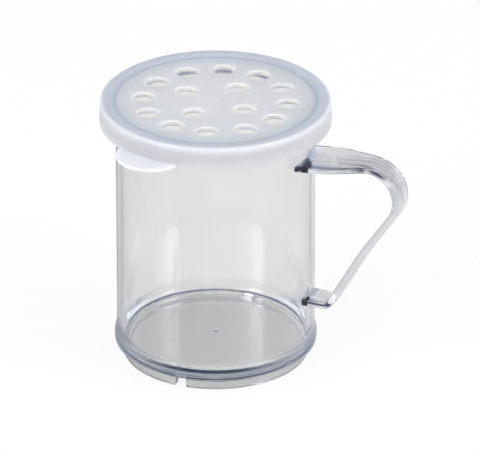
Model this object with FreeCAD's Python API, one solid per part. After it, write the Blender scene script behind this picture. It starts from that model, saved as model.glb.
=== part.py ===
import FreeCAD, Part
import math
import os

# Hand-held spice shaker: a clear cup with an open strap handle, and a milky shaker lid
# that pushes on over the cup's rim.
# Lengths are in millimetres and angles in degrees. +Z is up, the handle points along +X,
# and the origin is on the cup's axis at the plane that the foot ring stands on.

# Cup wall and floor
WALL_RADIUS = 34.7
WALL_THICKNESS = 2.2
HOLLOW_DRAFT = 0.2          # the hollow is this much narrower in radius at the floor
CUP_HEIGHT = 94.0           # from the table to the rim that the lid rests on
FLOOR_LIFT = 2.4            # recess between the table and the floor's underside
FLOOR_THICKNESS = 4.6
FLOOR_CORNER = 2.4          # rounded corner between the floor and the wall

# Foot ring with its drain notches
FOOT_INSET = 2.1            # from the wall's outside in to the foot ring's
FOOT_WIDTH = 2.5
FOOT_HEIGHT = 4.7
FOOT_EDGE_ROUND = 0.5
NOTCH_COUNT = 2
NOTCH_WIDTH = 3.8
NOTCH_START = 90.0          # the first notch is a quarter turn from the handle

# Bead round the base
BEAD_LIP = 0.6              # how far its lower corner stands out past the wall
BEAD_BULGE = 1.0            # how far its widest line stands out past the wall
BEAD_WIDEST = 2.2           # height of the widest line above the bead's lower face
BEAD_HEIGHT = 6.7
BEAD_LIP_ROUND = 0.4
BEAD_ROUND = 6.0
BEAD_BLEND = 8.0

# Rim flange that the lid is pushed over
RIM_OVERHANG = 3.3
RIM_HEIGHT = 2.6
RIM_ROUND = 0.6
RIM_BLEND = 0.8

# Strap handle, measured on its middle plane, where the two halves of its faces meet in a crease
ARM_DROP = 12.7             # from the rim down to the upper arm's top face at the wall
ARM_RISE = 5.0              # the upper arm climbs away from the wall by this angle
STRAP_REACH = 35.4          # from the wall to the outermost point of the strap
STRAP_THICKNESS = 2.8
STRAP_DRAFT = 1.9           # each face falls away from the crease by this angle
LOWER_ARM_BOTTOM = 25.1
LOWER_ARM_REACH = 9.9       # from the wall to the corner that the small bend rounds
WAIST_SHARE = 0.575         # place of the waist on the long run, from the small bend up
WAIST_BOW = 0.9             # how far the waist is drawn in from a straight run
UPPER_BEND = 12.6           # outer radius of the large bend
WAIST_BEND = 110.0
LOWER_BEND = 4.4            # outer radius of the small bend
STRAP_WIDTH = 10.4
ROOT_WIDTH = 19.4           # width of the upper arm where it meets the wall
BROAD_WIDTH = 18.8          # width of the upper arm where it starts to narrow
TAPER_LENGTH = 14.3         # along the arm, from where it starts to narrow
TAPER_PAST_BEND = 1.3       # how far the narrowing runs on past the start of the large bend
TAPER_BEND = 20.0
STRAP_EDGE_ROUND = 0.6

# Lid plate with its shaker holes
PLATE_THICKNESS = 2.2
LID_TURN = -104.3           # direction of the thumb tab, seen from above
HOLE_RADIUS = 3.95
OUTER_HOLE_COUNT = 12
OUTER_HOLE_CIRCLE = 25.25   # radius of the circle through the hole centres
INNER_HOLE_COUNT = 4
INNER_HOLE_CIRCLE = 12.5
GATE_RADIUS = 0.9           # moulding mark at the middle of the plate
GATE_RISE = 0.25

# Lid shoulder and skirt
RIM_CLEARANCE = 0.85        # between the rim flange and the skirt
SKIRT_THICKNESS = 1.5
SKIRT_DRAFT = 0.3           # the skirt is this much narrower at its shoulder
SKIRT_DEPTH = 5.4           # from the seat on the rim down to the hem
SHOULDER_WIDTH = 4.45       # from the hem's outside in to the plate
SHOULDER_RISE = 0.7         # how far the shoulder ring stands above the plate
SHOULDER_STEP = 0.6         # width of the slope between the plate and the shoulder ring
SHOULDER_ROUND = 1.1
STEP_ROUND = 0.3
HEM_ROUND = 0.4
SNAP_CLEARANCE = 0.3        # between the snap bead and the rim flange
SNAP_HEIGHT = 1.6
SNAP_ABOVE_HEM = 0.8

# Thumb tab on the hem
TAB_RADIUS = 12.2
TAB_INSET = 3.15            # from the hem's outside in to the tab's centre
TAB_THICKNESS = 1.35
TAB_EDGE_ROUND = 0.5

OVERRUN = 5.0               # how far a cutting shape runs past what it cuts

# Sizes that follow from the ones above
FLOOR_TOP = FLOOR_LIFT + FLOOR_THICKNESS
HOLLOW_RADIUS = WALL_RADIUS - WALL_THICKNESS
HOLLOW_FLOOR_RADIUS = HOLLOW_RADIUS - HOLLOW_DRAFT
FOOT_RADIUS = WALL_RADIUS - FOOT_INSET
FOOT_INNER_RADIUS = FOOT_RADIUS - FOOT_WIDTH
RIM_RADIUS = WALL_RADIUS + RIM_OVERHANG
RIM_BOTTOM = CUP_HEIGHT - RIM_HEIGHT
ARM_TOP = CUP_HEIGHT - ARM_DROP
ARM_RUN = STRAP_REACH - UPPER_BEND
NARROW_RUN = ARM_RUN + TAPER_PAST_BEND
BROAD_RUN = NARROW_RUN - TAPER_LENGTH
HEM = CUP_HEIGHT - SKIRT_DEPTH
PLATE_TOP = CUP_HEIGHT + PLATE_THICKNESS
LID_TOP = PLATE_TOP + SHOULDER_RISE
SNAP_RADIUS = RIM_RADIUS + SNAP_CLEARANCE
SKIRT_INNER_RADIUS = RIM_RADIUS + RIM_CLEARANCE
HEM_RADIUS = SKIRT_INNER_RADIUS + SKIRT_THICKNESS
PLATE_RADIUS = HEM_RADIUS - SHOULDER_WIDTH
TAB_CENTRE = HEM_RADIUS - TAB_INSET


def unit(a, b):
    """Direction from one outline point to another."""
    length = math.hypot(b[0] - a[0], b[1] - a[1])
    return (b[0] - a[0]) / length, (b[1] - a[1]) / length


def shifted(point, direction, distance):
    """Outline point moved along a direction."""
    return point[0] + direction[0] * distance, point[1] + direction[1] * distance


def on_side(point):
    """Outline point (u, v) as a point of the upright XZ plane."""
    return FreeCAD.Vector(point[0], 0, point[1])


def on_plan(point):
    """Outline point (u, v) as a point of the level XY plane."""
    return FreeCAD.Vector(point[0], point[1], 0)


def round_corner(before, corner, after, radius):
    """Start, middle and end of the arc that rounds one corner of an outline."""
    back = unit(corner, before)
    ahead = unit(corner, after)
    half = math.acos(max(-1, min(1, back[0] * ahead[0] + back[1] * ahead[1]))) / 2
    middle_way = unit((0, 0), (back[0] + ahead[0], back[1] + ahead[1]))
    start = shifted(corner, back, radius / math.tan(half))
    end = shifted(corner, ahead, radius / math.tan(half))
    middle = shifted(corner, middle_way, radius / math.sin(half) - radius)
    return start, middle, end


def outline_wire(corners, place):
    """Closed wire from (u, v, corner radius) values; radius 0 keeps a corner sharp."""
    stops = []
    for index, corner in enumerate(corners):
        before = corners[index - 1]
        after = corners[(index + 1) % len(corners)]
        if corner[2] > 0:
            stops.append(round_corner(before, corner, after, corner[2]))
        else:
            stops.append((corner[:2], None, corner[:2]))
    edges = []
    for index, stop in enumerate(stops):
        if stop[1] is not None:
            edges.append(Part.Arc(*[place(point) for point in stop]).toShape())
        following = stops[(index + 1) % len(stops)]
        edges.append(Part.LineSegment(place(stop[2]), place(following[0])).toShape())
    return Part.Wire(edges)


def turned(corners):
    """Solid of revolution about Z from an outline of (radius, height, corner radius)."""
    face = Part.Face(outline_wire(corners, on_side))
    return face.revolve(FreeCAD.Vector(0, 0, 0), FreeCAD.Vector(0, 0, 1), 360)


def upright_cylinder(radius, bottom, top, x=0, y=0):
    """Cylinder along Z between two heights."""
    return Part.makeCylinder(radius, top - bottom, FreeCAD.Vector(x, y, bottom))


def polar(radius, angle):
    """Plan position at a radius and an angle."""
    return radius * math.cos(math.radians(angle)), radius * math.sin(math.radians(angle))


def hole_places():
    """Plan positions of all the shaker holes, in two circles lined up with the tab."""
    places = []
    for count, circle in ((OUTER_HOLE_COUNT, OUTER_HOLE_CIRCLE), (INNER_HOLE_COUNT, INNER_HOLE_CIRCLE)):
        for index in range(count):
            places.append(polar(circle, LID_TURN + index * 360 / count))
    return places


def foot_notch(angle):
    """Cutter for one drain notch, as wide as the foot ring and as high as the foot."""
    ring = upright_cylinder(FOOT_RADIUS + OVERRUN, -OVERRUN, FOOT_HEIGHT)
    ring = ring.cut(upright_cylinder(FOOT_INNER_RADIUS, -OVERRUN, FOOT_HEIGHT))
    bar = Part.makeBox(FOOT_RADIUS + 2 * OVERRUN, NOTCH_WIDTH, FOOT_HEIGHT + OVERRUN,
                       FreeCAD.Vector(0, -NOTCH_WIDTH / 2, -OVERRUN))
    bar.rotate(FreeCAD.Vector(0, 0, 0), FreeCAD.Vector(0, 0, 1), angle)
    return ring.common(bar)


def cup_body():
    """Wall, floor, rim flange, base bead and notched foot ring, turned in one piece."""
    bead_widest = FOOT_HEIGHT + BEAD_WIDEST
    bead_top = FOOT_HEIGHT + BEAD_HEIGHT
    body = turned([
        (0, FLOOR_LIFT, 0),
        (FOOT_INNER_RADIUS, FLOOR_LIFT, 0),
        (FOOT_INNER_RADIUS, 0, FOOT_EDGE_ROUND),
        (FOOT_RADIUS, 0, FOOT_EDGE_ROUND),
        (FOOT_RADIUS, FOOT_HEIGHT, 0),
        (WALL_RADIUS + BEAD_LIP, FOOT_HEIGHT, BEAD_LIP_ROUND),
        (WALL_RADIUS + BEAD_BULGE, bead_widest, BEAD_ROUND),
        (WALL_RADIUS, bead_top, BEAD_BLEND),
        (WALL_RADIUS, RIM_BOTTOM, RIM_BLEND),
        (RIM_RADIUS, RIM_BOTTOM, RIM_ROUND),
        (RIM_RADIUS, CUP_HEIGHT, RIM_ROUND),
        (HOLLOW_RADIUS, CUP_HEIGHT, RIM_ROUND),
        (HOLLOW_FLOOR_RADIUS, FLOOR_TOP, FLOOR_CORNER),
        (0, FLOOR_TOP, 0),
    ])
    for index in range(NOTCH_COUNT):
        body = body.cut(foot_notch(NOTCH_START + index * 360 / NOTCH_COUNT))
    return body


def heading(angle):
    """Direction at an angle to the table."""
    return math.cos(math.radians(angle)), math.sin(math.radians(angle))


def crossing(point, direction, other_point, other_direction):
    """Where two lines of the side view cross."""
    gap = (other_point[0] - point[0], other_point[1] - point[1])
    spread = direction[0] * other_direction[1] - direction[1] * other_direction[0]
    travel = (gap[0] * other_direction[1] - gap[1] * other_direction[0]) / spread
    return shifted(point, direction, travel)


def touching(point, centre, radius):
    """Direction from a point of the line that passes a circle on its right, just touching it."""
    away = (centre[0] - point[0], centre[1] - point[1])
    turn = math.asin(radius / math.hypot(away[0], away[1]))
    return heading(math.degrees(math.atan2(away[1], away[0]) - turn))


def upper_bend_centre():
    """Centre of the large bend, which the upper arm runs into."""
    arm = heading(ARM_RISE)
    return WALL_RADIUS + ARM_RUN, ARM_TOP + ARM_RUN * arm[1] / arm[0] - UPPER_BEND / arm[0]


def strap_runs():
    """Outer lines of the strap's straight runs from top to bottom, each a point and a direction."""
    bend = upper_bend_centre()
    corner = (WALL_RADIUS + LOWER_ARM_REACH, LOWER_ARM_BOTTOM)
    straight = touching(corner, bend, UPPER_BEND)
    run = (bend[0] - corner[0]) * straight[0] + (bend[1] - corner[1]) * straight[1]
    waist = shifted(corner, straight, run * WAIST_SHARE)
    waist = shifted(waist, (-straight[1], straight[0]), WAIST_BOW)
    upper = touching(waist, bend, UPPER_BEND)
    return [
        ((WALL_RADIUS, ARM_TOP), heading(ARM_RISE)),
        (waist, (-upper[0], -upper[1])),
        (waist, unit(waist, corner)),
        (corner, (-1, 0)),
    ]


def strap_side(inset):
    """Side outline of the strap, drawn in by an inset on its outer and on its inner face."""
    lines = []
    for depth in (inset, STRAP_THICKNESS - inset):
        moved = [(shifted(point, (way[1], -way[0]), depth), way) for point, way in strap_runs()]
        lines.append(moved)
    ends = ((HOLLOW_RADIUS, 0), (0, 1))
    rounds = (
        (UPPER_BEND - inset, WAIST_BEND + inset, LOWER_BEND - inset),
        (UPPER_BEND - STRAP_THICKNESS + inset, WAIST_BEND + STRAP_THICKNESS - inset,
         LOWER_BEND - STRAP_THICKNESS + inset),
    )
    sides = []
    for moved, radii in zip(lines, rounds):
        side = [crossing(*ends, *moved[0]) + (0,)]
        for index, radius in enumerate(radii):
            side.append(crossing(*moved[index], *moved[index + 1]) + (radius,))
        side.append(crossing(*ends, *moved[-1]) + (0,))
        sides.append(side)
    return outline_wire(sides[0] + sides[1][::-1], on_side)


def strap_plan():
    """Plan of the upper arm: broad at the wall, narrowing to the strap's own width."""
    far_x = WALL_RADIUS + STRAP_REACH + OVERRUN
    root_spread = (ROOT_WIDTH - BROAD_WIDTH) / 2 * WALL_THICKNESS / BROAD_RUN
    half = [
        (HOLLOW_RADIUS, ROOT_WIDTH / 2 + root_spread, 0),
        (WALL_RADIUS + BROAD_RUN, BROAD_WIDTH / 2, TAPER_BEND),
        (WALL_RADIUS + NARROW_RUN, STRAP_WIDTH / 2, TAPER_BEND),
        (far_x, STRAP_WIDTH / 2, 0),
    ]
    other_half = [(x, -y, radius) for x, y, radius in half[::-1]]
    return Part.Face(outline_wire(half + other_half, on_plan))


def long_edges(strap):
    """Edges that run along the strap, so not the ones across it, the crease or the two ends."""
    small = STRAP_EDGE_ROUND / 4
    chosen = []
    for edge in strap.Edges:
        box = edge.BoundBox
        across = box.XLength < small and box.ZLength < small
        at_end = box.XMax < HOLLOW_RADIUS + small
        at_side = min(abs(box.YMin), abs(box.YMax)) > STRAP_WIDTH / 4
        if at_side and not across and not at_end:
            chosen.append(edge)
    return chosen


def cup_handle():
    """Open strap handle with its creased faces, cut to the wall that it grows out of."""
    _, bend_z = upper_bend_centre()
    half_span = ROOT_WIDTH / 2 + OVERRUN
    fall = half_span * math.tan(math.radians(STRAP_DRAFT))
    crease = strap_side(0)
    halves = []
    for side in (1, -1):
        outer = strap_side(fall)
        outer.translate(FreeCAD.Vector(0, side * half_span, 0))
        halves.append(Part.makeLoft([crease, outer], True, True))
    wide = halves[0].fuse(halves[1])
    plan = strap_plan()
    plan.translate(FreeCAD.Vector(0, 0, bend_z))
    above = plan.extrude(FreeCAD.Vector(0, 0, CUP_HEIGHT + OVERRUN - bend_z))
    reach = WALL_RADIUS + STRAP_REACH + OVERRUN
    below = Part.makeBox(reach, STRAP_WIDTH, bend_z, FreeCAD.Vector(0, -STRAP_WIDTH / 2, 0))
    strap = wide.common(above.fuse(below)).removeSplitter()
    strap = strap.makeFillet(STRAP_EDGE_ROUND, long_edges(strap))
    return strap.cut(upright_cylinder(WALL_RADIUS, 0, CUP_HEIGHT))


def lid_plate():
    """Round plate of the lid with all its shaker holes and the moulding mark."""
    plate = upright_cylinder(PLATE_RADIUS, CUP_HEIGHT, PLATE_TOP)
    plate = plate.fuse(upright_cylinder(GATE_RADIUS, CUP_HEIGHT, PLATE_TOP + GATE_RISE))
    for x, y in hole_places():
        plate = plate.cut(upright_cylinder(HOLE_RADIUS, CUP_HEIGHT - OVERRUN, PLATE_TOP + OVERRUN, x, y))
    return plate


def thumb_tab():
    """Round tab on the hem, rounded along its outer edges."""
    x, y = polar(TAB_CENTRE, LID_TURN)
    tab = upright_cylinder(TAB_RADIUS, HEM, HEM + TAB_THICKNESS, x, y)
    tab = tab.makeFillet(TAB_EDGE_ROUND, [edge for edge in tab.Edges if edge.BoundBox.ZLength < TAB_EDGE_ROUND])
    return tab.cut(upright_cylinder(SKIRT_INNER_RADIUS, HEM - OVERRUN, CUP_HEIGHT))


def lid_skirt():
    """Raised shoulder ring, skirt with its snap bead, and thumb tab."""
    shoulder_radius = HEM_RADIUS - SKIRT_DRAFT
    snap_bottom = HEM + SNAP_ABOVE_HEM
    snap_middle = snap_bottom + SNAP_HEIGHT / 2
    skirt = turned([
        (PLATE_RADIUS, CUP_HEIGHT, 0),
        (SKIRT_INNER_RADIUS, CUP_HEIGHT, 0),
        (SKIRT_INNER_RADIUS, snap_bottom + SNAP_HEIGHT, 0),
        (SNAP_RADIUS, snap_middle, 0),
        (SKIRT_INNER_RADIUS, snap_bottom, 0),
        (SKIRT_INNER_RADIUS, HEM, HEM_ROUND),
        (HEM_RADIUS, HEM, HEM_ROUND),
        (shoulder_radius, LID_TOP, SHOULDER_ROUND),
        (PLATE_RADIUS + SHOULDER_STEP, LID_TOP, STEP_ROUND),
        (PLATE_RADIUS, PLATE_TOP, 0),
    ])
    return skirt.fuse(thumb_tab()).removeSplitter()


NODES = {
    "cup_body": cup_body,
    "cup_handle": cup_handle,
    "lid_plate": lid_plate,
    "lid_skirt": lid_skirt,
}

os.makedirs("parts", exist_ok=True)
for name, build in NODES.items():
    shape = build()
    shape.exportStep("parts/" + name + ".step")
    box = shape.BoundBox
    print(name, "solids", len(shape.Solids), "valid", shape.isValid(), "volume", round(shape.Volume, 1),
          "box", [round(v, 2) for v in (box.XMin, box.YMin, box.ZMin, box.XMax, box.YMax, box.ZMax)])
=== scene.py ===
# %% [markdown]
# # A clear spice shaker with a milky lid
# This notebook dresses a small shaker for dry spices: a clear plastic cup with an open strap
# handle, and a milky lid with round holes that pushes on over the cup's rim.
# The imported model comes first. It is the frame that everything else is measured against, so
# its box is kept before anything is added.

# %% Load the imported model
import math

import bmesh
import bpy
from mathutils import Matrix, Vector


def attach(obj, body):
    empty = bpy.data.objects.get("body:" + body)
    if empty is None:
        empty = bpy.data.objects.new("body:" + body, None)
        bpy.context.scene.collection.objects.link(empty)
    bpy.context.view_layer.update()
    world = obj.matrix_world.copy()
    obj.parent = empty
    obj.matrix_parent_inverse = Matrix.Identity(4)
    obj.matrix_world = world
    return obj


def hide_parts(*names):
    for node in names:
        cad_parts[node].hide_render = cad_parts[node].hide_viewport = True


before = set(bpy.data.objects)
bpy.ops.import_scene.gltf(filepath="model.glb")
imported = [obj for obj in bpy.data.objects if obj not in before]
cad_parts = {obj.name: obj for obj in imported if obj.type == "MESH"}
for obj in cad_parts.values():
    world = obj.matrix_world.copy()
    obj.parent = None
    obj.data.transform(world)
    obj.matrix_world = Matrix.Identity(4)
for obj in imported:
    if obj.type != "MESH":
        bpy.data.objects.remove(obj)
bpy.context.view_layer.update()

# %% [markdown]
# ## Sizes
# The sizes are written in millimetres, because that is how such an object is drawn, and the
# helper `mm` turns them into Blender's metres. The cup stands on the plane z = 0 and its axis
# is the Z axis. The handle points along +X.

# %% Sizes of the cup and the lid
def mm(*values):
    """Millimetres as metres: one number, or a tuple of them."""
    metres = tuple(value / 1000 for value in values)
    return metres[0] if len(metres) == 1 else metres


WALL_RADIUS = 34.7
HOLLOW_RADIUS = 32.5
CUP_HEIGHT = 94.0
FLOOR_LIFT = 2.4
FLOOR_TOP = 7.0
FOOT_RADIUS = 32.6
FOOT_INNER_RADIUS = 30.1
FOOT_HEIGHT = 4.7
RIM_RADIUS = 38.0
RIM_BOTTOM = 91.4
PLATE_RADIUS = 35.5
PLATE_TOP = 96.2
LID_TOP = 96.9
HEM = 88.6
HEM_RADIUS = 40.35
SKIRT_INNER_RADIUS = 38.85
PLATE_BOTTOM = CUP_HEIGHT + 0.05
LID_TURN = math.radians(-104.3)
print("cup", 2 * WALL_RADIUS, "mm across,", "lid", 2 * HEM_RADIUS, "mm across")

# %% [markdown]
# ## Camera
# The photograph looks down on the shaker from the front left, from far away, so that the
# rims are flat ellipses and the sides stay almost parallel. A long lens from 2.6 metres gives
# that look. The camera is placed by its viewing angle: it goes back from the point that it
# looks at, along its own viewing direction.

# %% Place the camera
IMAGE_WIDTH = 480
FOCAL_PIXELS = 7442.8
SENSOR_WIDTH = 36
HALF_PIXEL = 0.5 / IMAGE_WIDTH
CAMERA_DISTANCE = 2.6
FARTHEST_SEEN = 20
AIM_SIDE, AIM_HEIGHT = 8.65, 47.71
azimuth, elevation = math.radians(22.0), math.radians(26.32)
right = Vector((math.cos(azimuth), math.sin(azimuth), 0))
forward = Vector((-math.sin(azimuth) * math.cos(elevation),
                  math.cos(azimuth) * math.cos(elevation), -math.sin(elevation)))
up = right.cross(forward)
aim = right * mm(AIM_SIDE) + Vector((0, 0, mm(AIM_HEIGHT)))
camera = bpy.data.objects.new("camera", bpy.data.cameras.new("camera"))
camera.data.sensor_width = SENSOR_WIDTH
camera.data.lens = FOCAL_PIXELS / IMAGE_WIDTH * SENSOR_WIDTH
camera.data.clip_end = FARTHEST_SEEN
camera.data.shift_x = -HALF_PIXEL
camera.data.shift_y = HALF_PIXEL
turn = Matrix((right, up, -forward)).transposed().to_4x4()
camera.matrix_world = Matrix.Translation(aim - forward * CAMERA_DISTANCE) @ turn
bpy.context.scene.collection.objects.link(camera)
bpy.context.scene.camera = camera
print("camera lens", round(camera.data.lens), "mm")

# %% [markdown]
# ## Helpers that turn an outline into a solid
# Nearly every part of this shaker was made in a round mould, so most of it is a solid of
# revolution. The outline is drawn as a chain of straight runs in the XZ plane. A vertex bevel
# rounds its corners, and `spin` turns it about the Z axis. Where an outline starts or ends on
# the axis, the spun points there fall together, so doubles are merged before the normals are
# recalculated.

# %% Helpers for outlines and turned solids
def rounded_chain(mesh, corners, closed=False, segments=6):
    """Adds a chain through (x, z, corner radius) points in the XZ plane and rounds its corners."""
    points = [mesh.verts.new(mm(x, 0, z)) for x, z, _ in corners]
    edges = [mesh.edges.new(pair) for pair in zip(points, points[1:])]
    if closed:
        edges.append(mesh.edges.new((points[-1], points[0])))
    for point, (_, _, radius) in zip(points, corners):
        if radius > 0:
            ways = [(edge.other_vert(point).co - point.co).normalized() for edge in point.link_edges]
            half = ways[0].angle(ways[1]) / 2
            bmesh.ops.bevel(mesh, geom=[point], offset=mm(radius) / math.tan(half), affect="VERTICES",
                            segments=segments, profile=0.5, material=-1)


def hold_straight(mesh, close=0.1):
    """Adds a point close to each end of every straight run, so that smooth shading stays true there."""
    for edge in mesh.edges[:]:
        length = edge.calc_length()
        if length > mm(10 * close):
            _, point = bmesh.utils.edge_split(edge, edge.verts[0], mm(close) / length)
            rest = next(other for other in point.link_edges if other.calc_length() > mm(5 * close))
            bmesh.utils.edge_split(rest, rest.other_vert(point), mm(close) / rest.calc_length())


def turn_about_axis(mesh, steps):
    """Spins everything in the mesh once round the Z axis and closes it."""
    bmesh.ops.spin(mesh, geom=mesh.verts[:] + mesh.edges[:], cent=(0, 0, 0), axis=(0, 0, 1),
                   angle=2 * math.pi, steps=steps, use_merge=True)
    bmesh.ops.remove_doubles(mesh, verts=mesh.verts[:], dist=mm(0.001))
    bmesh.ops.dissolve_degenerate(mesh, edges=mesh.edges[:], dist=mm(0.001))


def only(kind, geometry):
    """The vertices or edges among the geometry that an operator returned."""
    return [item for item in geometry if isinstance(item, kind)]


def add_disc(mesh, radius, thickness, centre, segments):
    """Adds an upright round bar or disc with closed ends; the centre is its middle."""
    bmesh.ops.create_cone(mesh, cap_ends=True, segments=segments, radius1=mm(radius), radius2=mm(radius),
                          depth=mm(thickness), matrix=Matrix.Translation(mm(*centre)))


def as_object(mesh, name):
    """Turns a finished bmesh into an object at the origin."""
    bmesh.ops.recalc_face_normals(mesh, faces=mesh.faces[:])
    data = bpy.data.meshes.new(name)
    mesh.to_mesh(data)
    mesh.free()
    made = bpy.data.objects.new(name, data)
    bpy.context.scene.collection.objects.link(made)
    return made


def combine(base, tool, operation):
    """Joins a tool to a base object or cuts it away, and removes the tool."""
    step = base.modifiers.new("combine", "BOOLEAN")
    step.operation = operation
    step.solver = "EXACT"
    step.object = tool
    result = bpy.data.meshes.new_from_object(base.evaluated_get(bpy.context.evaluated_depsgraph_get()))
    base.modifiers.clear()
    old = base.data
    base.data = result
    bpy.data.meshes.remove(old)
    bpy.data.objects.remove(tool)
    print(operation.lower(), base.name, len(result.polygons), "faces")


print("outline helpers ready")

# %% [markdown]
# ## Cup: wall, floor, bead and foot ring
# The wall is a little over 2 mm thick, straight outside and tapered by a hair inside, so that
# it left its mould. Below, a rounded bead stands out round the base, and under it comes the
# narrower foot ring. At the top a flange stands out under the lid. The wall is divided in
# height, so that the handle's joint later stays a small patch of it. The floor is thick,
# and a small pip stands in its middle.

# %% Turn the cup
CUP_STEPS = 256
BEAD_STAND_OUT = 1.0
BEAD_FOOT_STAND_OUT = 0.6
BEAD_MIDDLE = FOOT_HEIGHT + 2.2
BEAD_END = FOOT_HEIGHT + 6.7
HOLLOW_DRAFT = 0.2
FLOOR_PIP_RADIUS, FLOOR_PIP_TOP_RADIUS, FLOOR_PIP_HEIGHT = 1.4, 0.6, 0.2
WALL_HEIGHTS = (22, 24, 26, 28, 30, 34, 50, 66, 74, 77, 79, 81, 83, 86)

cup_mesh = bmesh.new()
wall_rows = [(WALL_RADIUS, z, 0) for z in WALL_HEIGHTS]
rounded_chain(cup_mesh, [
    (0, FLOOR_LIFT, 0),
    (FOOT_INNER_RADIUS, FLOOR_LIFT, 0.4),
    (FOOT_INNER_RADIUS, 0, 0.5),
    (FOOT_RADIUS, 0, 0.5),
    (FOOT_RADIUS, FOOT_HEIGHT, 0.3),
    (WALL_RADIUS + BEAD_FOOT_STAND_OUT, FOOT_HEIGHT, 0.4),
    (WALL_RADIUS + BEAD_STAND_OUT, BEAD_MIDDLE, 6.0),
    (WALL_RADIUS, BEAD_END, 8.0),
] + wall_rows + [
    (WALL_RADIUS, RIM_BOTTOM, 0.8),
    (RIM_RADIUS, RIM_BOTTOM, 0.6),
    (RIM_RADIUS, CUP_HEIGHT, 0.6),
    (HOLLOW_RADIUS, CUP_HEIGHT, 0.6),
    (HOLLOW_RADIUS - HOLLOW_DRAFT, FLOOR_TOP, 2.4),
    (FLOOR_PIP_RADIUS, FLOOR_TOP, 0.4),
    (FLOOR_PIP_TOP_RADIUS, FLOOR_TOP + FLOOR_PIP_HEIGHT, 0.4),
    (0, FLOOR_TOP + FLOOR_PIP_HEIGHT, 0),
], segments=8)
hold_straight(cup_mesh)
turn_about_axis(cup_mesh, CUP_STEPS)
cup = as_object(cup_mesh, "clear_cup")
print("cup", len(cup.data.polygons), "faces")

# %% [markdown]
# Two drain notches break the foot ring, so that water runs off when the cup dries upside
# down. A notch is an upright slot whose lower corners are rounded. The cutter is a flat
# outline that flares at the bottom, pushed through the ring.

# %% Cut the drain notches
NOTCH_HALF = 1.9
NOTCH_FLARE = 6
NOTCH_BELOW = -1
NOTCH_LOWER_ROUND, NOTCH_UPPER_ROUND = 0.9, 0.3
NOTCH_START = 29.95
NOTCH_LENGTH = 6

notch_mesh = bmesh.new()
rounded_chain(notch_mesh, [
    (-NOTCH_FLARE, NOTCH_BELOW, 0),
    (NOTCH_FLARE, NOTCH_BELOW, 0),
    (NOTCH_FLARE, 0, 0),
    (NOTCH_HALF, 0, NOTCH_LOWER_ROUND),
    (NOTCH_HALF, FOOT_HEIGHT, NOTCH_UPPER_ROUND),
    (-NOTCH_HALF, FOOT_HEIGHT, NOTCH_UPPER_ROUND),
    (-NOTCH_HALF, 0, NOTCH_LOWER_ROUND),
    (-NOTCH_FLARE, 0, 0),
], closed=True)
face = bmesh.ops.contextual_create(notch_mesh, geom=notch_mesh.edges[:])["faces"]
bmesh.ops.translate(notch_mesh, verts=notch_mesh.verts[:], vec=mm(0, NOTCH_START, 0))
pushed = bmesh.ops.extrude_face_region(notch_mesh, geom=face)["geom"]
bmesh.ops.translate(notch_mesh, verts=only(bmesh.types.BMVert, pushed), vec=mm(0, NOTCH_LENGTH, 0))
everything = notch_mesh.verts[:] + notch_mesh.edges[:] + notch_mesh.faces[:]
copy = bmesh.ops.duplicate(notch_mesh, geom=everything)["geom"]
bmesh.ops.rotate(notch_mesh, verts=only(bmesh.types.BMVert, copy), cent=(0, 0, 0),
                 matrix=Matrix.Rotation(math.pi, 3, "Z"))
combine(cup, as_object(notch_mesh, "notch_cutter"), "DIFFERENCE")

# %% [markdown]
# ## Handle
# The handle is one flat strap, bent three times: the upper arm turns down in a large bend,
# the long run has a faint waist, and a small bend brings it back to the wall. A strap like
# this is a section pushed along a path. Here the section is extruded along the straight
# runs and spun round the centre of each bend, which keeps the bends truly round.
# The section's two broad faces meet in a faint crease, where the halves of the mould parted.

# %% Sizes of the handle
ARM_TOP = 81.3
ARM_RISE = math.radians(5.0)
STRAP_REACH = 35.4
STRAP_THICKNESS = 2.8
STRAP_DRAFT = math.radians(1.9)
STRAP_WIDTH = 10.4
EDGE_ROUND = 0.6
UPPER_BEND, WAIST_BEND, LOWER_BEND = 12.6, 110.0, 4.4
LOWER_CORNER = Vector((WALL_RADIUS + 9.9, 25.1))
WAIST_SHARE, WAIST_BOW = 0.575, 0.9


def heading(angle):
    """Direction in the side view at an angle to the table."""
    return Vector((math.cos(angle), math.sin(angle)))


def touching(point, centre, radius):
    """Angle of the line from a point that passes a circle on its right, just touching it."""
    away = centre - point
    return math.atan2(away.y, away.x) - math.asin(radius / away.length)


def left_of(direction):
    """Direction in the side view at a right angle to the left of another."""
    return Vector((-direction.y, direction.x))


run = STRAP_REACH - UPPER_BEND
bend_height = ARM_TOP + run * math.tan(ARM_RISE) - UPPER_BEND / math.cos(ARM_RISE)
bend_centre = Vector((WALL_RADIUS + run, bend_height))
straight = heading(touching(LOWER_CORNER, bend_centre, UPPER_BEND))
waist = LOWER_CORNER + straight * (bend_centre - LOWER_CORNER).dot(straight) * WAIST_SHARE
waist = waist + left_of(straight) * WAIST_BOW
upper_slant = touching(waist, bend_centre, UPPER_BEND)
lower_slant = math.atan2(waist.y - LOWER_CORNER.y, waist.x - LOWER_CORNER.x)
print("long run at", [round(math.degrees(slant), 1) for slant in (upper_slant, lower_slant)], "degrees")

# %% [markdown]
# The section is drawn once, at the place inside the wall where the upper arm starts. It
# is then carried along the arm, round the large bend, down the long run and back. Each
# spin and each extrusion starts from the edges that the last one left behind.

# %% Push the section along the handle
START_X = 33.0
END_X = START_X + 0.6
ARM_PIECES, UPPER_RUN_PIECES, LOWER_RUN_PIECES, END_PIECES = 24, 4, 6, 4
UPPER_BEND_STEPS, WAIST_STEPS, LOWER_BEND_STEPS = 36, 8, 16

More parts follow.
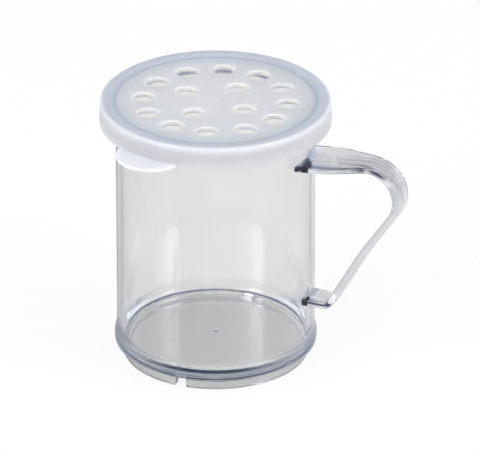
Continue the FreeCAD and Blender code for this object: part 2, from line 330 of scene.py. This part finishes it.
half = STRAP_WIDTH / 2
fall = half * math.tan(STRAP_DRAFT)
handle_mesh = bmesh.new()
start = Vector((START_X, ARM_TOP + (START_X - WALL_RADIUS) * math.tan(ARM_RISE)))
rounded_chain(handle_mesh, [
    (0, 0, 0),
    (half, -fall, EDGE_ROUND),
    (half, -STRAP_THICKNESS + fall, EDGE_ROUND),
    (0, -STRAP_THICKNESS, 0),
    (-half, -STRAP_THICKNESS + fall, EDGE_ROUND),
    (-half, -fall, EDGE_ROUND),
], closed=True, segments=5)
stand = Matrix.Translation(mm(start.x, 0, start.y)) @ Matrix.Rotation(-ARM_RISE, 4, "Y")
stand = stand @ Matrix.Rotation(math.pi / 2, 4, "Z")
bmesh.ops.transform(handle_mesh, matrix=stand, verts=handle_mesh.verts[:])
bmesh.ops.contextual_create(handle_mesh, geom=handle_mesh.edges[:])
ring = handle_mesh.edges[:]


def push(edges, direction, length, pieces):
    """Extrudes the open end of the strap along a direction, in several pieces."""
    for _ in range(pieces):
        new = bmesh.ops.extrude_edge_only(handle_mesh, edges=edges)["geom"]
        step = direction * length / pieces
        bmesh.ops.translate(handle_mesh, verts=only(bmesh.types.BMVert, new), vec=mm(step.x, 0, step.y))
        edges = only(bmesh.types.BMEdge, new)
    return edges


def bend(edges, centre, angle, steps):
    """Spins the open end of the strap about a centre in the side view."""
    new = bmesh.ops.spin(handle_mesh, geom=edges, cent=mm(centre.x, 0, centre.y), axis=(0, 1, 0),
                         angle=angle, steps=steps)["geom_last"]
    return only(bmesh.types.BMEdge, new)


def tangent(radius, turn):
    """Length that a bend takes off each of the two runs beside it."""
    return radius * math.tan(turn / 2)


upper_turn = math.pi - upper_slant + ARM_RISE
waist_turn = lower_slant - upper_slant
lower_turn = lower_slant
down_upper = -heading(upper_slant)
down_lower = -heading(lower_slant)
arm = heading(ARM_RISE)
waist_tangent = tangent(WAIST_BEND, waist_turn)
lower_tangent = tangent(LOWER_BEND, lower_turn)
touch = bend_centre + left_of(arm) * UPPER_BEND
ring = push(ring, arm, (touch - start).length, ARM_PIECES)
ring = bend(ring, bend_centre, upper_turn, UPPER_BEND_STEPS)
leave = bend_centre + left_of(down_upper) * UPPER_BEND
ring = push(ring, down_upper, (waist - leave).length - waist_tangent, UPPER_RUN_PIECES)
waist_start = waist - down_upper * waist_tangent
ring = bend(ring, waist_start + left_of(down_upper) * WAIST_BEND, -waist_turn, WAIST_STEPS)
lower_run = (LOWER_CORNER - waist).length - waist_tangent - lower_tangent
ring = push(ring, down_lower, lower_run, LOWER_RUN_PIECES)
lower_start = LOWER_CORNER - down_lower * lower_tangent
ring = bend(ring, lower_start - left_of(down_lower) * LOWER_BEND, lower_turn, LOWER_BEND_STEPS)
ring = push(ring, Vector((-1, 0)), LOWER_CORNER.x - lower_tangent - END_X, END_PIECES)
bmesh.ops.contextual_create(handle_mesh, geom=ring)
print("handle", len(handle_mesh.faces), "faces, ends at",
      [round(v * 1000, 2) for v in ring[0].verts[0].co])

# %% [markdown]
# The upper arm is nearly twice as wide at the wall as the strap is further on. It narrows
# in an even taper with soft corners. The taper is made by moving the points of the arm
# sideways, and by lowering its faces a little as they spread, so that they keep falling
# away from the crease at the same angle.

# %% Widen the upper arm towards the wall
TAPER_START, TAPER_END = 44.5, 58.8
HALF_AT_START, HALF_AT_END = 9.4, 5.2
SOFT_START, SOFT_END = 2.6, 2.9
ROOT_SLOPE = -0.3 / 9.8
TAPER_SLOPE = (HALF_AT_END - HALF_AT_START) / (TAPER_END - TAPER_START)
CORNERS = ((TAPER_START, SOFT_START, TAPER_SLOPE - ROOT_SLOPE), (TAPER_END, SOFT_END, -TAPER_SLOPE))


def arm_half_width(x):
    """Half the width of the upper arm at a distance from the cup's axis, with soft corners."""
    width = HALF_AT_START + ROOT_SLOPE * (x - TAPER_START)
    for corner, soft, change in CORNERS:
        if x > corner - soft:
            inside = min(x, corner + soft) - (corner - soft)
            width += change * (inside ** 2 / (4 * soft) + max(0, x - corner - soft))
    return width


arm_up = left_of(arm)
arm_middle = Vector((WALL_RADIUS, ARM_TOP)) - arm_up * STRAP_THICKNESS / 2
for vert in handle_mesh.verts:
    x, y, z = vert.co * 1000
    if z > bend_centre.y and abs(y) > 0.1:
        spread = arm_half_width(x) - half
        above = (Vector((x, z)) - arm_middle).dot(arm_up) > 0
        drop = arm_up * spread * math.tan(STRAP_DRAFT) * (-1 if above else 1)
        vert.co = mm(x + drop.x, y + math.copysign(spread, y), z + drop.y)
combine(cup, as_object(handle_mesh, "handle"), "UNION")

# %% [markdown]
# ## Soft and sharp edges
# Curved surfaces are shaded smooth, and real corners stay sharp. The big flat faces, such
# as the floor, are shaded flat, so that their shading doesn't bend towards the rounded
# edges beside them. The crease along the strap is so faint that no angle test would find
# it, so its edges are marked by their place.

# %% Shade the surfaces
CUP_SHARP, LID_SHARP = math.radians(28), math.radians(35)
LEVEL_NORMAL = 0.9999
CREASE_WIDTH = 0.002
CREASE_START = WALL_RADIUS - 0.2


def shade(piece, sharp_angle):
    """Smooth shading with sharp corners, and flat shading for level faces."""
    piece.data.shade_smooth()
    piece.data.set_sharp_from_angle(angle=sharp_angle)
    for face in piece.data.polygons:
        face.use_smooth = abs(face.normal.z) <= LEVEL_NORMAL


shade(cup, CUP_SHARP)
creases = 0
for edge in cup.data.edges:
    ends = [cup.data.vertices[index].co for index in edge.vertices]
    if max(abs(end.y) for end in ends) < mm(CREASE_WIDTH) and min(end.x for end in ends) > mm(CREASE_START):
        edge.use_edge_sharp = True
        creases += 1
print("crease edges", creases)

# %% [markdown]
# ## Lid
# The lid is one moulding in soft milky plastic: a thin plate with sixteen holes, a raised
# shoulder round it, a skirt that hugs the cup's flange, and a round thumb tab on the hem.
# The outline is turned with an open middle, and the two openings are closed by one flat
# face each, which gives clean edges to the holes that are cut through them.

# %% Turn the lid
LID_STEPS = 192
MIDDLE_RADIUS = 34
HOLDING_BEAD = 0.55
HOLDING_TOP, HOLDING_MIDDLE, HOLDING_END = HEM + 2.4, HEM + 1.6, HEM + 0.8
SKIRT_DRAFT = 0.3
STEP_WIDTH = 1.2

lid_mesh = bmesh.new()
rounded_chain(lid_mesh, [
    (MIDDLE_RADIUS, PLATE_BOTTOM, 0),
    (SKIRT_INNER_RADIUS, PLATE_BOTTOM, 0.5),
    (SKIRT_INNER_RADIUS, HOLDING_TOP, 0.3),
    (SKIRT_INNER_RADIUS - HOLDING_BEAD, HOLDING_MIDDLE, 0.3),
    (SKIRT_INNER_RADIUS, HOLDING_END, 0.3),
    (SKIRT_INNER_RADIUS, HEM, 0.4),
    (HEM_RADIUS, HEM, 0.4),
    (HEM_RADIUS - SKIRT_DRAFT, LID_TOP, 1.1),
    (PLATE_RADIUS + STEP_WIDTH, LID_TOP, 5.0),
    (PLATE_RADIUS, PLATE_TOP, 0),
    (MIDDLE_RADIUS, PLATE_TOP, 0),
])
hold_straight(lid_mesh)
turn_about_axis(lid_mesh, LID_STEPS)
bmesh.ops.holes_fill(lid_mesh, edges=[edge for edge in lid_mesh.edges if edge.is_boundary], sides=0)
lid = as_object(lid_mesh, "milky_lid")
print("lid", len(lid.data.polygons), "faces")

# %% [markdown]
# The holes sit in two circles that are lined up with the thumb tab. One short round bar is
# made for each hole, and all the bars are cut away together. Afterwards the edges of the
# holes are bevelled, because a moulded hole has no knife edge.

# %% Cut the shaker holes and soften their edges
HOLE_RADIUS = 3.95
HOLE_CIRCLES = ((12, 25.25), (4, 12.5))
HOLE_EDGE = 0.3
HOLE_SEGMENTS = 64
BAR_MIDDLE, BAR_LENGTH = 95, 6
NEAR_EDGE, NEARLY_LEVEL = 0.03, 0.01

bars = bmesh.new()
hole_places = []
for count, circle in HOLE_CIRCLES:
    for index in range(count):
        angle = LID_TURN + index * 2 * math.pi / count
        hole_places.append(Vector((circle * math.cos(angle), circle * math.sin(angle))))
for place in hole_places:
    add_disc(bars, HOLE_RADIUS, BAR_LENGTH, (place.x, place.y, BAR_MIDDLE), HOLE_SEGMENTS)
combine(lid, as_object(bars, "hole_cutter"), "DIFFERENCE")
lid_mesh = bmesh.new()
lid_mesh.from_mesh(lid.data)


def on_hole_edge(vert):
    """Whether a point lies on the edge of one of the holes."""
    x, y, _ = vert.co * 1000
    return any(abs((Vector((x, y)) - place).length - HOLE_RADIUS) < NEAR_EDGE for place in hole_places)


def is_level(edge):
    """Whether an edge lies level."""
    return abs(edge.verts[0].co.z - edge.verts[1].co.z) < mm(NEARLY_LEVEL)


def is_corner(edge):
    """Whether the two faces beside an edge stand steeply on each other."""
    return abs(edge.link_faces[0].normal.dot(edge.link_faces[1].normal)) < 0.5


rims = [edge for edge in lid_mesh.edges
        if all(on_hole_edge(vert) for vert in edge.verts) and is_level(edge) and is_corner(edge)]
bmesh.ops.bevel(lid_mesh, geom=rims, offset=mm(HOLE_EDGE), affect="EDGES", segments=4, profile=0.5,
                material=-1)
print("hole edges", len(rims))
lid_mesh.to_mesh(lid.data)
lid_mesh.free()

# %% [markdown]
# The thumb tab is a thin round disc whose rim is rounded. The part of it that would reach
# inside the skirt is cut away first, so that the cup's flange keeps its room. The small
# pip in the middle of the plate is where the plastic was let into the mould.

# %% Add the thumb tab and the moulding pip
TAB_RADIUS = 12.2
TAB_CENTRE = 37.2
TAB_THICKNESS = 1.35
TAB_EDGE = 0.5
TAB_SEGMENTS = 128
KEPT_CLEAR_RADIUS, KEPT_CLEAR_HEIGHT = 39.6, 8
PIP_RADIUS = 0.9
PIP_BOTTOM = 95.5
PIP_TOP = PLATE_TOP + 0.24
PIP_STEPS = 32

tab_mesh = bmesh.new()
tab_place = (TAB_CENTRE * math.cos(LID_TURN), TAB_CENTRE * math.sin(LID_TURN), HEM + TAB_THICKNESS / 2)
add_disc(tab_mesh, TAB_RADIUS, TAB_THICKNESS, tab_place, TAB_SEGMENTS)
tab_edges = [edge for edge in tab_mesh.edges if is_level(edge)]
bmesh.ops.bevel(tab_mesh, geom=tab_edges, offset=mm(TAB_EDGE), affect="EDGES", segments=5, profile=0.5,
                material=-1)
tab = as_object(tab_mesh, "tab")
inside = bmesh.new()
add_disc(inside, KEPT_CLEAR_RADIUS, KEPT_CLEAR_HEIGHT, (0, 0, HEM), LID_STEPS)
combine(tab, as_object(inside, "inside_cutter"), "DIFFERENCE")
combine(lid, tab, "UNION")
pip = bmesh.new()
rounded_chain(pip, [
    (0, PIP_BOTTOM, 0),
    (PIP_RADIUS, PIP_BOTTOM, 0),
    (PIP_RADIUS, PIP_TOP, 0.2),
    (0, PIP_TOP, 0),
])
turn_about_axis(pip, PIP_STEPS)
combine(lid, as_object(pip, "pip"), "UNION")
shade(lid, LID_SHARP)

# %% [markdown]
# ## Steps of a node material
# The materials are built from nodes. Each helper below adds one step, such as a mix of two
# colours, and hands back the output that the next step takes. Places on an object are given
# in millimetres, so that they can be read beside the sizes above.

# %% Helpers for node materials
MILLIMETRE = 0.001
DEGREE = math.radians(1)
RELIEF_DEPTH = 0.1 * MILLIMETRE


def new_material(name):
    """A material with an empty node tree, ready for nodes."""
    material = bpy.data.materials.new(name)
    material.use_nodes = True
    material.node_tree.nodes.clear()
    return material, material.node_tree.nodes, material.node_tree.links


def add(nodes, kind, **values):
    """A node of a kind, with values set on its named inputs."""
    node = nodes.new(kind)
    for name, value in values.items():
        node.inputs[name.replace("_", " ")].default_value = value
    return node


def ranged(nodes, links, source, **limits):
    """A value carried from one range to another; a range that isn't given is 0 to 1."""
    node = add(nodes, "ShaderNodeMapRange", **limits)
    links.new(source, node.inputs["Value"])
    return node.outputs["Result"]


def mixed(nodes, links, factor, low, high, blend="MIX"):
    """A colour that goes from one to another with a factor; each is a value or an output."""
    mix = nodes.new("ShaderNodeMix")
    mix.data_type = "RGBA"
    mix.blend_type = blend
    for socket, value in ((mix.inputs[0], factor), (mix.inputs[6], low), (mix.inputs[7], high)):
        if isinstance(value, float):
            socket.default_value = value
        elif isinstance(value, tuple):
            socket.default_value = value + (1,)
        else:
            links.new(value, socket)
    return mix.outputs[2]


def sum_up(nodes, links, operation, *values):
    """A Math node's result; each value is a number or a node's output."""
    node = nodes.new("ShaderNodeMath")
    node.operation = operation
    for socket, value in zip(node.inputs, values):
        if isinstance(value, (int, float)):
            socket.default_value = value
        else:
            links.new(value, socket)
    return node.outputs["Value"]


def vector_step(nodes, links, operation, source, other=(0, 0, 0)):
    """A Vector Math node that works on a source and a fixed vector."""
    node = nodes.new("ShaderNodeVectorMath")
    node.operation = operation
    links.new(source, node.inputs[0])
    node.inputs[1].default_value = other
    return node


def split(nodes, links, source):
    """The X, Y and Z outputs of a vector."""
    node = nodes.new("ShaderNodeSeparateXYZ")
    links.new(source, node.inputs["Vector"])
    return node.outputs


def ramp(nodes, links, source, stops, unit=1.0):
    """Colours at given values of a source, blended smoothly; a number stands for a grey."""
    start, end = stops[0][0], stops[-1][0]
    node = nodes.new("ShaderNodeValToRGB")
    node.color_ramp.interpolation = "EASE"
    elements = node.color_ramp.elements
    while len(elements) < len(stops):
        elements.new(0.5)
    for element, (place, value) in zip(elements, stops):
        element.position = (place - start) / (end - start)
        element.color = (value if isinstance(value, tuple) else (value,) * 3) + (1,)
    share = ranged(nodes, links, source, From_Min=start * unit, From_Max=end * unit)
    links.new(share, node.inputs["Fac"])
    return node.outputs["Color"]


def within(nodes, links, *limits):
    """1 where two sources are past their limits: (source, where it starts, where it is full)."""
    shares = [ranged(nodes, links, source, From_Min=mm(none), From_Max=mm(full))
              for source, none, full in limits]
    return sum_up(nodes, links, "MULTIPLY", *shares)


def distance_from_axis(nodes, links, place):
    """Distance of a point from the Z axis."""
    flat = vector_step(nodes, links, "MULTIPLY", place, (1, 1, 0))
    return vector_step(nodes, links, "LENGTH", flat.outputs["Vector"]).outputs["Value"]


def noise(nodes, links, place, **values):
    """A noise texture's value at a place."""
    node = add(nodes, "ShaderNodeTexNoise", **values)
    links.new(place, node.inputs["Vector"])
    return node.outputs["Fac"]


def dress(piece, material, nodes, links, shader, height, strength):
    """Adds a fine relief to a shader and gives the finished material to a piece."""
    relief = add(nodes, "ShaderNodeBump", Strength=strength, Distance=RELIEF_DEPTH)
    links.new(height, relief.inputs["Height"])
    links.new(relief.outputs["Normal"], shader.inputs["Normal"])
    output = nodes.new("ShaderNodeOutputMaterial")
    links.new(shader.outputs["BSDF"], output.inputs["Surface"])
    piece.data.materials.clear()
    piece.data.materials.append(material)
    return output


print("node helpers ready")

# %% [markdown]
# ## Clear plastic
# The cup is clear moulded plastic. Its tint is nearly white, and three places differ, each
# with painted shade in its tint. The foot ring is painted darker, a painted shade for the
# shadow under the cup that shows through it. The upper arm has streaks along its length,
# where the plastic flowed through the mould, and the whole arm is painted darker as well, a
# painted shade. The roots of the handle are painted bluer and darker, a painted shade for the
# long paths that light takes along the strap into the wall.

# %% Tint the clear plastic and paint its shade
CLEAR_TINT = (0.965, 0.962, 0.955)
# Painted shade: the foot ring is painted grey for the shadow under the cup that shows through it.
FOOT_PAINTED_SHADE = (0.62, 0.62, 0.61)
# Painted shade: the roots of the handle are painted bluer and darker, for the long paths of light along the
# strap.
ROOT_PAINTED_SHADE = (0.78, 0.82, 0.95)
# The streaks follow the plastic's flow; the stops also paint the whole upper arm darker, a painted shade.
STREAK_AND_SHADE_STOPS = ((0.38, (0.62, 0.62, 0.63)), (0.60, (0.93, 0.93, 0.93)))
STREAK_STRETCH = (25, 600, 100)

clear, nodes, links = new_material("clear cup plastic")
place = nodes.new("ShaderNodeTexCoord").outputs["Object"]
axes = split(nodes, links, place)
foot = within(nodes, links, (axes["Z"], 5.2, 4.2), (distance_from_axis(nodes, links, place), 30.9, 31.5))
upper_arm = within(nodes, links, (axes["Z"], 64, 76), (axes["X"], 35.2, 36.5))
root = within(nodes, links, (axes["X"], 37.5, 36.0), (axes["X"], 34.9, 35.1))
stretched = vector_step(nodes, links, "MULTIPLY", place, STREAK_STRETCH).outputs["Vector"]
streaks = noise(nodes, links, stretched, Scale=1.0, Detail=4.0, Roughness=0.6)
tint = mixed(nodes, links, foot, CLEAR_TINT, FOOT_PAINTED_SHADE)
tint = mixed(nodes, links, upper_arm, tint, ramp(nodes, links, streaks, STREAK_AND_SHADE_STOPS))
tint = mixed(nodes, links, root, tint, ROOT_PAINTED_SHADE)
print("clear tint ready")

# %% [markdown]
# Most of the colour comes from absorption inside the solid. Light that crosses a wall
# squarely loses little, and light that runs along a wall or a strap goes grey blue. The
# surface is polished. Smudges vary its polish, and faint ripples from the mould, which
# are stronger on the bead, bend what it mirrors.

# %% Give the cup its surface
PLASTIC_INDEX = 1.57
POLISH = (0.0, 0.03)
RIPPLE_STRENGTH = 0.05
RIPPLE_GAIN = 1.5
ABSORBED = (0.33, 0.42, 0.56, 1)
ABSORPTION = 12.0

shader = add(nodes, "ShaderNodeBsdfPrincipled", Transmission_Weight=1.0, IOR=PLASTIC_INDEX)
links.new(tint, shader.inputs["Base Color"])
smudges = noise(nodes, links, place, Scale=60.0, Detail=5.0, Roughness=0.6)
links.new(ranged(nodes, links, smudges, To_Min=POLISH[0], To_Max=POLISH[1]), shader.inputs["Roughness"])
ripples = noise(nodes, links, place, Scale=420.0, Detail=3.0, Roughness=0.55)
on_bead = within(nodes, links, (axes["Z"], 12, 10), (axes["Z"], 4.2, 5.0))
gain = sum_up(nodes, links, "MULTIPLY_ADD", on_bead, RIPPLE_GAIN, 1.0)
ripples = sum_up(nodes, links, "MULTIPLY", ripples, gain)
output = dress(cup, clear, nodes, links, shader, ripples, RIPPLE_STRENGTH)
absorb = add(nodes, "ShaderNodeVolumeAbsorption", Color=ABSORBED, Density=ABSORPTION)
links.new(absorb.outputs["Volume"], output.inputs["Volume"])
print("cup finish", clear.name)

# %% [markdown]
# ## Milky plastic
# The lid is a softer plastic that lets light in but scatters it, like thin milk. Its tint
# changes with the distance from the axis, and light and shade are painted into it: the middle
# of the plate is painted lighter, a painted pool of light, a painted blue shade lies along the
# step round the plate, and the shoulder's outer rounding and the skirt are painted darker, a
# painted shade. Cloudy marks lie over it, where the plastic ran in from the middle. The walls
# of the holes are painted nearly white, a painted light.

# %% Tint the milky plastic and paint its light and shade
# Painted light and shade by distance from the axis: a lighter middle, a painted blue shade at the step, and
# a darker shoulder rounding and skirt.
LID_TINTS_LIGHT_AND_SHADE = (
    (0, (0.75, 0.76, 0.805)),
    (28, (0.70, 0.73, 0.80)),
    (33.5, (0.645, 0.69, 0.79)),
    (35, (0.50, 0.55, 0.68)),
    (36.5, (0.54, 0.56, 0.65)),
    (39.25, (0.49, 0.50, 0.55)),
    (40, (0.61, 0.62, 0.675)),
    (41.5, (0.67, 0.68, 0.73)),
)
CLOUD_TINTS = (0.93, 0.94, 0.955), (1.0, 1.0, 1.0)
# Painted light: the steep walls of the holes in the plate are painted nearly white.
HOLE_WALL_PAINTED_LIGHT = (0.97, 0.97, 0.975)
HOLES_END = 33.0

milky, nodes, links = new_material("milky lid plastic")
sources = nodes.new("ShaderNodeTexCoord").outputs
place = sources["Object"]
reach = distance_from_axis(nodes, links, place)
clouds = noise(nodes, links, place, Scale=70.0, Detail=6.0, Roughness=0.65, Distortion=0.8)
tint = ramp(nodes, links, reach, LID_TINTS_LIGHT_AND_SHADE, MILLIMETRE)
tint = mixed(nodes, links, 1.0, tint, mixed(nodes, links, clouds, *CLOUD_TINTS), "MULTIPLY")
# The steep faces inside the plate take the painted light of the hole walls.
upright = sum_up(nodes, links, "ABSOLUTE", split(nodes, links, sources["Normal"])["Z"])
steep = ranged(nodes, links, upright, From_Min=0.7, From_Max=0.3)
in_plate = sum_up(nodes, links, "LESS_THAN", reach, mm(HOLES_END))
hole_wall_painted_light = sum_up(nodes, links, "MULTIPLY", steep, in_plate)
tint = mixed(nodes, links, hole_wall_painted_light, tint, HOLE_WALL_PAINTED_LIGHT)
print("milky tint ready")

# %% [markdown]
# Subsurface scattering gives the glow at thin edges and round the holes. Its scale is
# longer than the lid is thick, so light comes through to the inside. The surface is satin
# with a fine grain.

# %% Give the lid its surface
MILKY_INDEX = 1.5
SCATTER_SCALE = 0.01
SCATTER_RADIUS = (1.0, 1.1, 1.3)
SATIN = (0.32, 0.5)
GRAIN_STRENGTH = 0.12

shader = add(nodes, "ShaderNodeBsdfPrincipled", IOR=MILKY_INDEX, Subsurface_Weight=1.0,
             Subsurface_Scale=SCATTER_SCALE, Subsurface_Radius=SCATTER_RADIUS)
links.new(tint, shader.inputs["Base Color"])
links.new(ranged(nodes, links, clouds, To_Min=SATIN[0], To_Max=SATIN[1]), shader.inputs["Roughness"])
grain = noise(nodes, links, place, Scale=1400.0, Detail=2.0, Roughness=0.5)
dress(lid, milky, nodes, links, shader, grain, GRAIN_STRENGTH)
print("lid finish", milky.name)

# %% [markdown]
# ## Hand the pieces to their bodies
# Each dressed piece rides on the body that it belongs to and stands for that body's plain
# solids. The lid lifts off along the axis, and the cup stays.

# %% Attach the pieces
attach(cup, "cup")
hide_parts("cup_body", "cup_handle")
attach(lid, "lid")
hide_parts("lid_plate", "lid_skirt")
print("pieces", cup.name, "and", lid.name)

# %% [markdown]
# ## Studio floor
# The shaker stands on a large white floor. The camera sees the floor nearly white, with
# the shaker's soft shadow on it. Clear plastic shows what lies behind it and beside it, so
# it needs something to show. A table in a studio gets darker with distance, and has darker
# zones beside the bright middle. Rays that come through the plastic meet such a table. It
# dims slowly towards the back, and a dark zone lies at an angle on each side, which draws
# the thin dark lines along the edges of the cup.

# %% Paint the floor that shows through the plastic
FLOOR_SIZE = 4
BESIDE_START = 33
RIGHT_STOPS = ((0, 0.88), (10.8, 0.82), (21.6, 0.73), (27.9, 0.70), (30.15, 0.2), (32.85, 0.2),
               (35.1, 0.72), (90, 0.8))
LEFT_STOPS = ((0, 0.88), (9, 0.84), (18, 0.78), (27, 0.68), (34.2, 0.5), (39.6, 0.5), (45, 0.7), (90, 0.75))
BACK_STOPS = ((0, 1.0), (250, 0.86))

floor_mesh = bmesh.new()
bmesh.ops.create_circle(floor_mesh, cap_ends=True, segments=64, radius=FLOOR_SIZE)
floor = as_object(floor_mesh, "floor")
floor_white, nodes, links = new_material("floor_white")
place = nodes.new("ShaderNodeTexCoord").outputs["Object"]
level_forward = Vector((forward.x, forward.y, 0)).normalized()
sideways = vector_step(nodes, links, "DOT_PRODUCT", place, right).outputs["Value"]
behind = vector_step(nodes, links, "DOT_PRODUCT", place, level_forward).outputs["Value"]
beside = sum_up(nodes, links, "SUBTRACT", sum_up(nodes, links, "ABSOLUTE", sideways), mm(BESIDE_START))
turned = sum_up(nodes, links, "ARCTAN2", beside, behind)
on_the_right = sum_up(nodes, links, "GREATER_THAN", sideways, 0.0)
through = mixed(nodes, links, on_the_right, ramp(nodes, links, turned, LEFT_STOPS, DEGREE),
                ramp(nodes, links, turned, RIGHT_STOPS, DEGREE))
farther = ramp(nodes, links, behind, BACK_STOPS, MILLIMETRE)
through = mixed(nodes, links, 1.0, through, farther, "MULTIPLY")
print("floor pattern ready")

# %% [markdown]
# Rays that the plastic mirrors meet a table that is darker on the left. All this is a
# glow of the floor for those rays alone, mixed with the plain matt white that takes the
# lamps' light and the shadow.

# %% Mix the floor's glow with its matt white
MIRROR_STOPS = ((-37.5, 0.2), (-12.5, 0.55), (25, 0.74))
MATT_WHITE = (0.97, 0.97, 0.97, 1)
GLOW_IN_PLASTIC = 0.68
GLOW_FOR_CAMERA = 0.9
WHITE = (1.0, 1.0, 1.0)


def ray_kind(nodes, name):
    """A value that is 1 for one kind of ray."""
    return nodes.new("ShaderNodeLightPath").outputs[name]


def plastic_ray(nodes, links):
    """A value that is 1 for a ray that was mirrored or let through."""
    glossy = ray_kind(nodes, "Is Glossy Ray")
    return sum_up(nodes, links, "MAXIMUM", glossy, ray_kind(nodes, "Is Transmission Ray"))


mirrored = ramp(nodes, links, sideways, MIRROR_STOPS, MILLIMETRE)
level = mixed(nodes, links, ray_kind(nodes, "Is Transmission Ray"), mirrored, through)
level = mixed(nodes, links, ray_kind(nodes, "Is Camera Ray"), level, WHITE)
glow = nodes.new("ShaderNodeEmission")
links.new(level, glow.inputs["Color"])
matt = add(nodes, "ShaderNodeBsdfDiffuse", Color=MATT_WHITE)
for_camera = sum_up(nodes, links, "MULTIPLY", ray_kind(nodes, "Is Camera Ray"), GLOW_FOR_CAMERA)
share = sum_up(nodes, links, "MULTIPLY_ADD", plastic_ray(nodes, links), GLOW_IN_PLASTIC, for_camera)
blend = nodes.new("ShaderNodeMixShader")
links.new(share, blend.inputs["Fac"])
links.new(matt.outputs["BSDF"], blend.inputs[1])
links.new(glow.outputs["Emission"], blend.inputs[2])
links.new(blend.outputs["Shader"], nodes.new("ShaderNodeOutputMaterial").inputs["Surface"])
floor.data.materials.append(floor_white)
print("floor ready")

# %% [markdown]
# ## World
# The camera sees the world as plain white. Rays that the plastic mirrors or lets through
# meet a world that is white near the horizon, dark blue above it and grey overhead, like a
# white backdrop under a dark ceiling. Clear plastic only shows its edges where something
# darker is mirrored in it. Everything else is lit by a plain grey.

# %% Build the world
CEILING = (0.035, 0.047, 0.09)
OVERHEAD = (0.5, 0.5, 0.52)
DOME_STOPS = ((0.2, 1.0), (0.4, CEILING), (0.8, CEILING), (0.92, OVERHEAD))
SOFT_LIGHT = (0.52, 0.52, 0.52)

world = bpy.data.worlds.new("studio")
bpy.context.scene.world = world
world.use_nodes = True
nodes, links = world.node_tree.nodes, world.node_tree.links
nodes.clear()
rise = split(nodes, links, nodes.new("ShaderNodeTexCoord").outputs["Generated"])["Z"]
dome = ramp(nodes, links, rise, DOME_STOPS)
light = mixed(nodes, links, plastic_ray(nodes, links), SOFT_LIGHT, dome)
shown = mixed(nodes, links, ray_kind(nodes, "Is Camera Ray"), light, WHITE)
back = nodes.new("ShaderNodeBackground")
links.new(shown, back.inputs["Color"])
links.new(back.outputs["Background"], nodes.new("ShaderNodeOutputWorld").inputs["Surface"])
print("world ready")

# %% [markdown]
# ## Lamps
# Two large soft panels stand to the left and to the right of the camera. They light the
# lid, and they are what the cup mirrors as two pale upright stripes, once in its back
# wall and once in its floor. Each panel fades out to one side, which gives each stripe
# one sharp edge and one soft edge.

# %% Place the lamps
LAMP_DISTANCE = 2.0
LAMP_HEIGHT = math.radians(26)
LAMP_COLOUR = (0.93, 0.96, 1.0)
LAMP_STOPS = ((0.0, 0.0), (0.35, 0.3), (0.75, 1.0), (0.85, 0.95), (1.0, 0.0))


def lamp(name, angle, size, strength):
    """A soft square panel that faces the shaker, at an angle from the front round the axis."""
    level = Vector((math.sin(angle), -math.cos(angle), 0)) * math.cos(LAMP_HEIGHT)
    place = LAMP_DISTANCE * (level + Vector((0, 0, math.sin(LAMP_HEIGHT))))
    panel = bmesh.new()
    bmesh.ops.create_grid(panel, x_segments=1, y_segments=1, size=size / 2)
    made = as_object(panel, name)
    made.matrix_world = Matrix.Translation(place) @ (-place).to_track_quat("Z", "Y").to_matrix().to_4x4()
    made.visible_camera = False
    material, nodes, links = new_material(name)
    across = split(nodes, links, nodes.new("ShaderNodeTexCoord").outputs["Object"])["X"]
    across = sum_up(nodes, links, "MULTIPLY_ADD", across, 1 / size, 0.5)
    colour = mixed(nodes, links, 1.0, ramp(nodes, links, across, LAMP_STOPS), LAMP_COLOUR, "MULTIPLY")
    emission = add(nodes, "ShaderNodeEmission", Strength=strength)
    links.new(colour, emission.inputs["Color"])
    links.new(emission.outputs["Emission"], nodes.new("ShaderNodeOutputMaterial").inputs["Surface"])
    made.data.materials.append(material)
    print(name, "at", [round(value, 2) for value in place])


lamp("left_lamp", math.radians(-22), 1.5, 9.4)
lamp("right_lamp", math.radians(93), 1.6, 8.6)

# %% [markdown]
# ## Light paths and colours
# Light bounces many times inside the clear walls before it comes out again, so the paths
# may be long. The picture keeps the colours as they are, without a film curve.

# %% Set the paths and the view
MOST_BOUNCES = 128
paths = bpy.context.scene.cycles
paths.max_bounces = MOST_BOUNCES
paths.transmission_bounces = MOST_BOUNCES
paths.glossy_bounces = MOST_BOUNCES
bpy.context.scene.view_settings.view_transform = "Standard"
print("bounces", MOST_BOUNCES)
